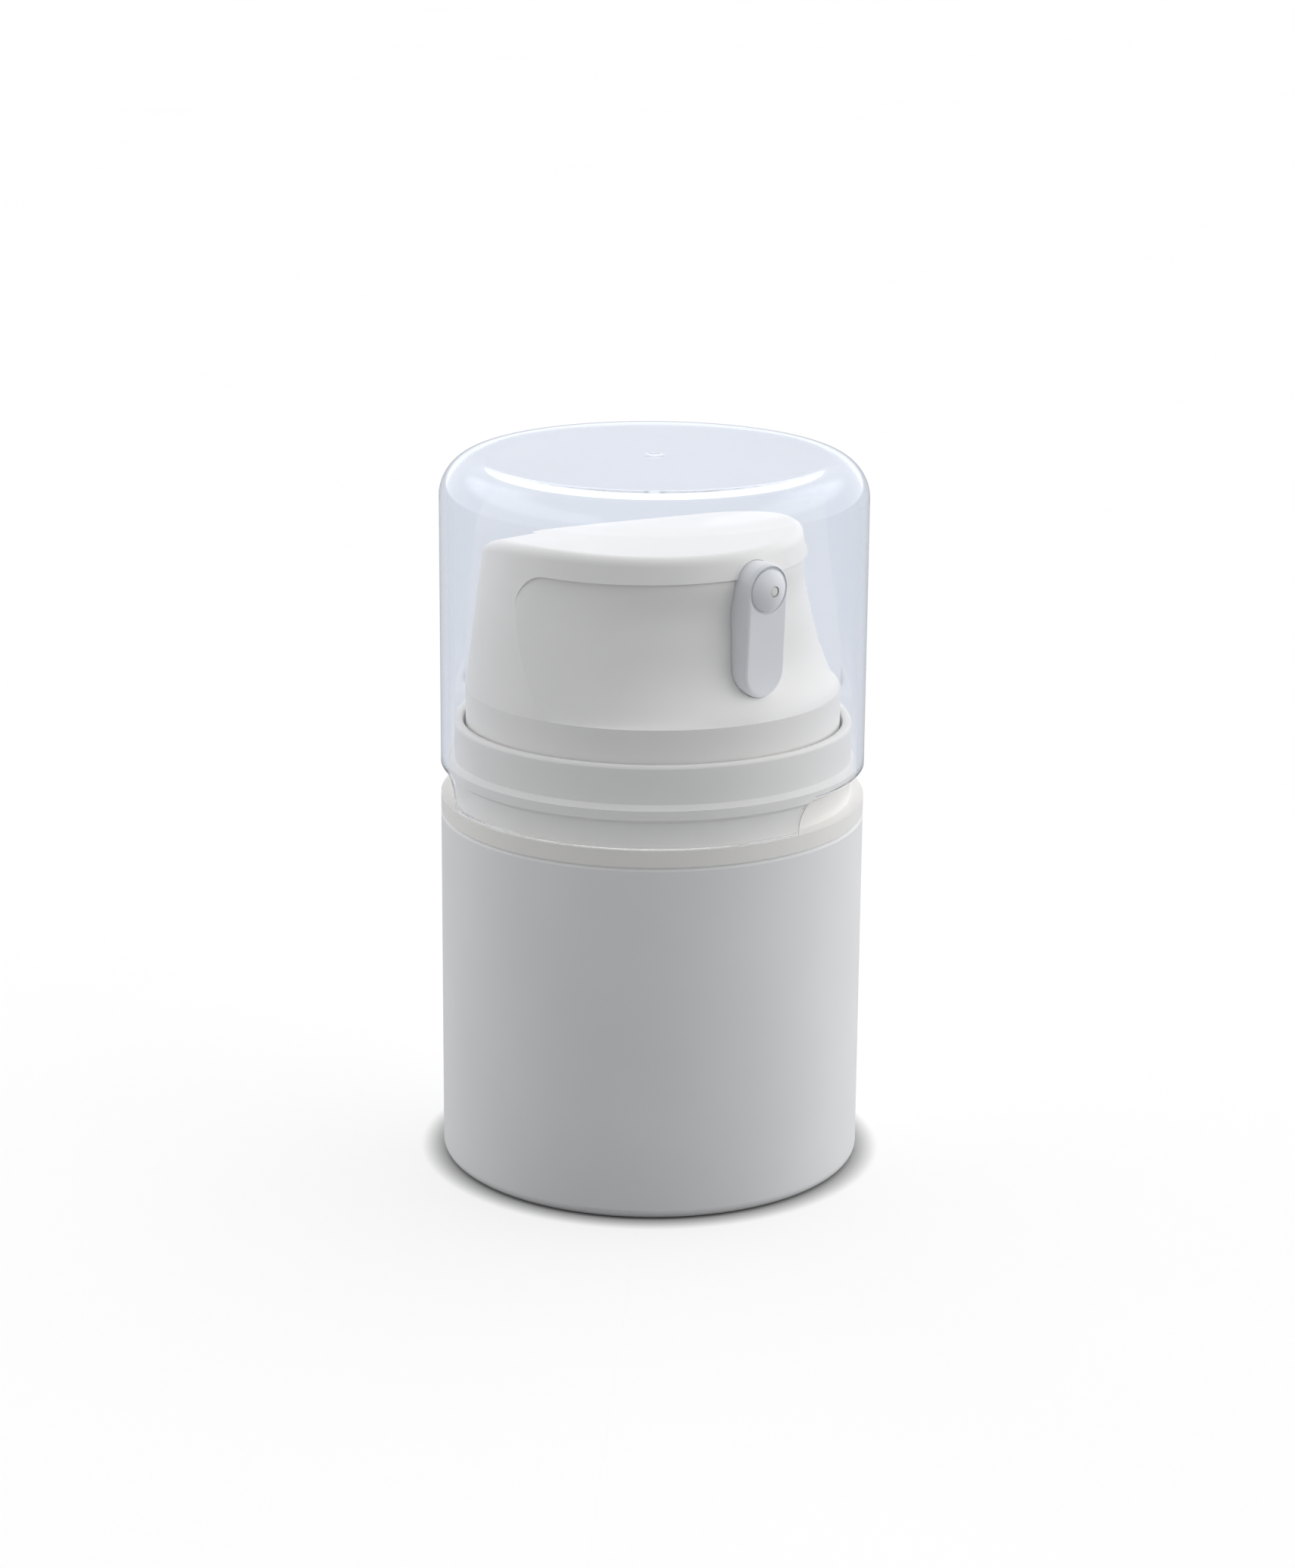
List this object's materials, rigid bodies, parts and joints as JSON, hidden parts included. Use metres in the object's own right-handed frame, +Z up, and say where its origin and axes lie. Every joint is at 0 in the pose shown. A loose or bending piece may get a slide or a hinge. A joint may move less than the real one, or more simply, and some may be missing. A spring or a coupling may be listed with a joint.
{
  "type": "airless pump bottle",
  "caption": "Cylindrical airless pump bottle with a clear lift-off cap, a scooped press-down head with a front nozzle, and a follower piston that rises in the body.",
  "frame": {"origin": "centre of the bottle's foot, on the surface it stands on", "axes": "+Z up along the bottle's axis, -Y the way the nozzle faces at rest, +X to the right of someone who faces the nozzle"},
  "size_m": [0.05, 0.05, 0.085],
  "materials": {
    "body_white": "smooth moulded, satin gloss",
    "base_white": "moulded, matt",
    "collar_white": "smooth moulded, satin gloss",
    "head_white": "smooth moulded, satin gloss",
    "nozzle_white": "smooth moulded, satin gloss",
    "inner_white": "moulded, matt",
    "soft_white": "soft moulded, waxy",
    "gasket_grey": "soft foam, matt",
    "spring_steel": "drawn wire",
    "cap_clear": "clear moulded, polished"
  },
  "bodies": {
    "bottle": {"bottle_body": "body_white", "base_plug": "base_white", "collar": "collar_white", "pump_carrier": "inner_white", "carrier_gasket": "gasket_grey", "pump_cylinder": "inner_white", "cylinder_gasket": "gasket_grey", "inlet_seat": "inner_white", "stem_guide": "inner_white", "return_spring": "spring_steel"},
    "follower": {"follower_piston": "soft_white"},
    "inlet": {"inlet_valve": "soft_white"},
    "plunger": {"plunger_stem": "inner_white", "stem_plug": "inner_white", "spring_cap": "inner_white"},
    "piston": {"pump_piston": "soft_white"},
    "head": {"actuator": "head_white", "nozzle_insert": "nozzle_white"},
    "outlet": {"outlet_valve": "soft_white"},
    "cap": {"overcap": "cap_clear"}
  },
  "joints": [
    {"name": "cap_lift", "type": "slide", "parent": "bottle", "child": "cap", "axis": [0, 0, 1], "range_m": [0, 0.045]},
    {"name": "head_press", "type": "slide", "parent": "bottle", "child": "plunger", "axis": [0, 0, -1], "range_m": [0, 0.005], "stiffness_N_per_m": 600, "springref_m": -0.004, "deforming": ["return_spring"]},
    {"name": "head_turn", "type": "hinge", "parent": "plunger", "child": "head", "pos_m": [0, 0, 0.065], "axis": [0, 0, 1], "continuous": true},
    {"name": "piston_shift", "type": "slide", "parent": "plunger", "child": "piston", "axis": [0, 0, 1], "range_m": [0, 0.00065]},
    {"name": "inlet_lift", "type": "slide", "parent": "bottle", "child": "inlet", "axis": [0, 0, 1], "range_m": [0, 0.0008]},
    {"name": "outlet_open", "type": "slide", "parent": "head", "child": "outlet", "axis": [0, 1, 0], "range_m": [0, 0.0005], "stiffness_N_per_m": 300, "springref_m": -0.001},
    {"name": "follower_rise", "type": "slide", "parent": "bottle", "child": "follower", "axis": [0, 0, 1], "range_m": [0, 0.0255]}
  ]
}
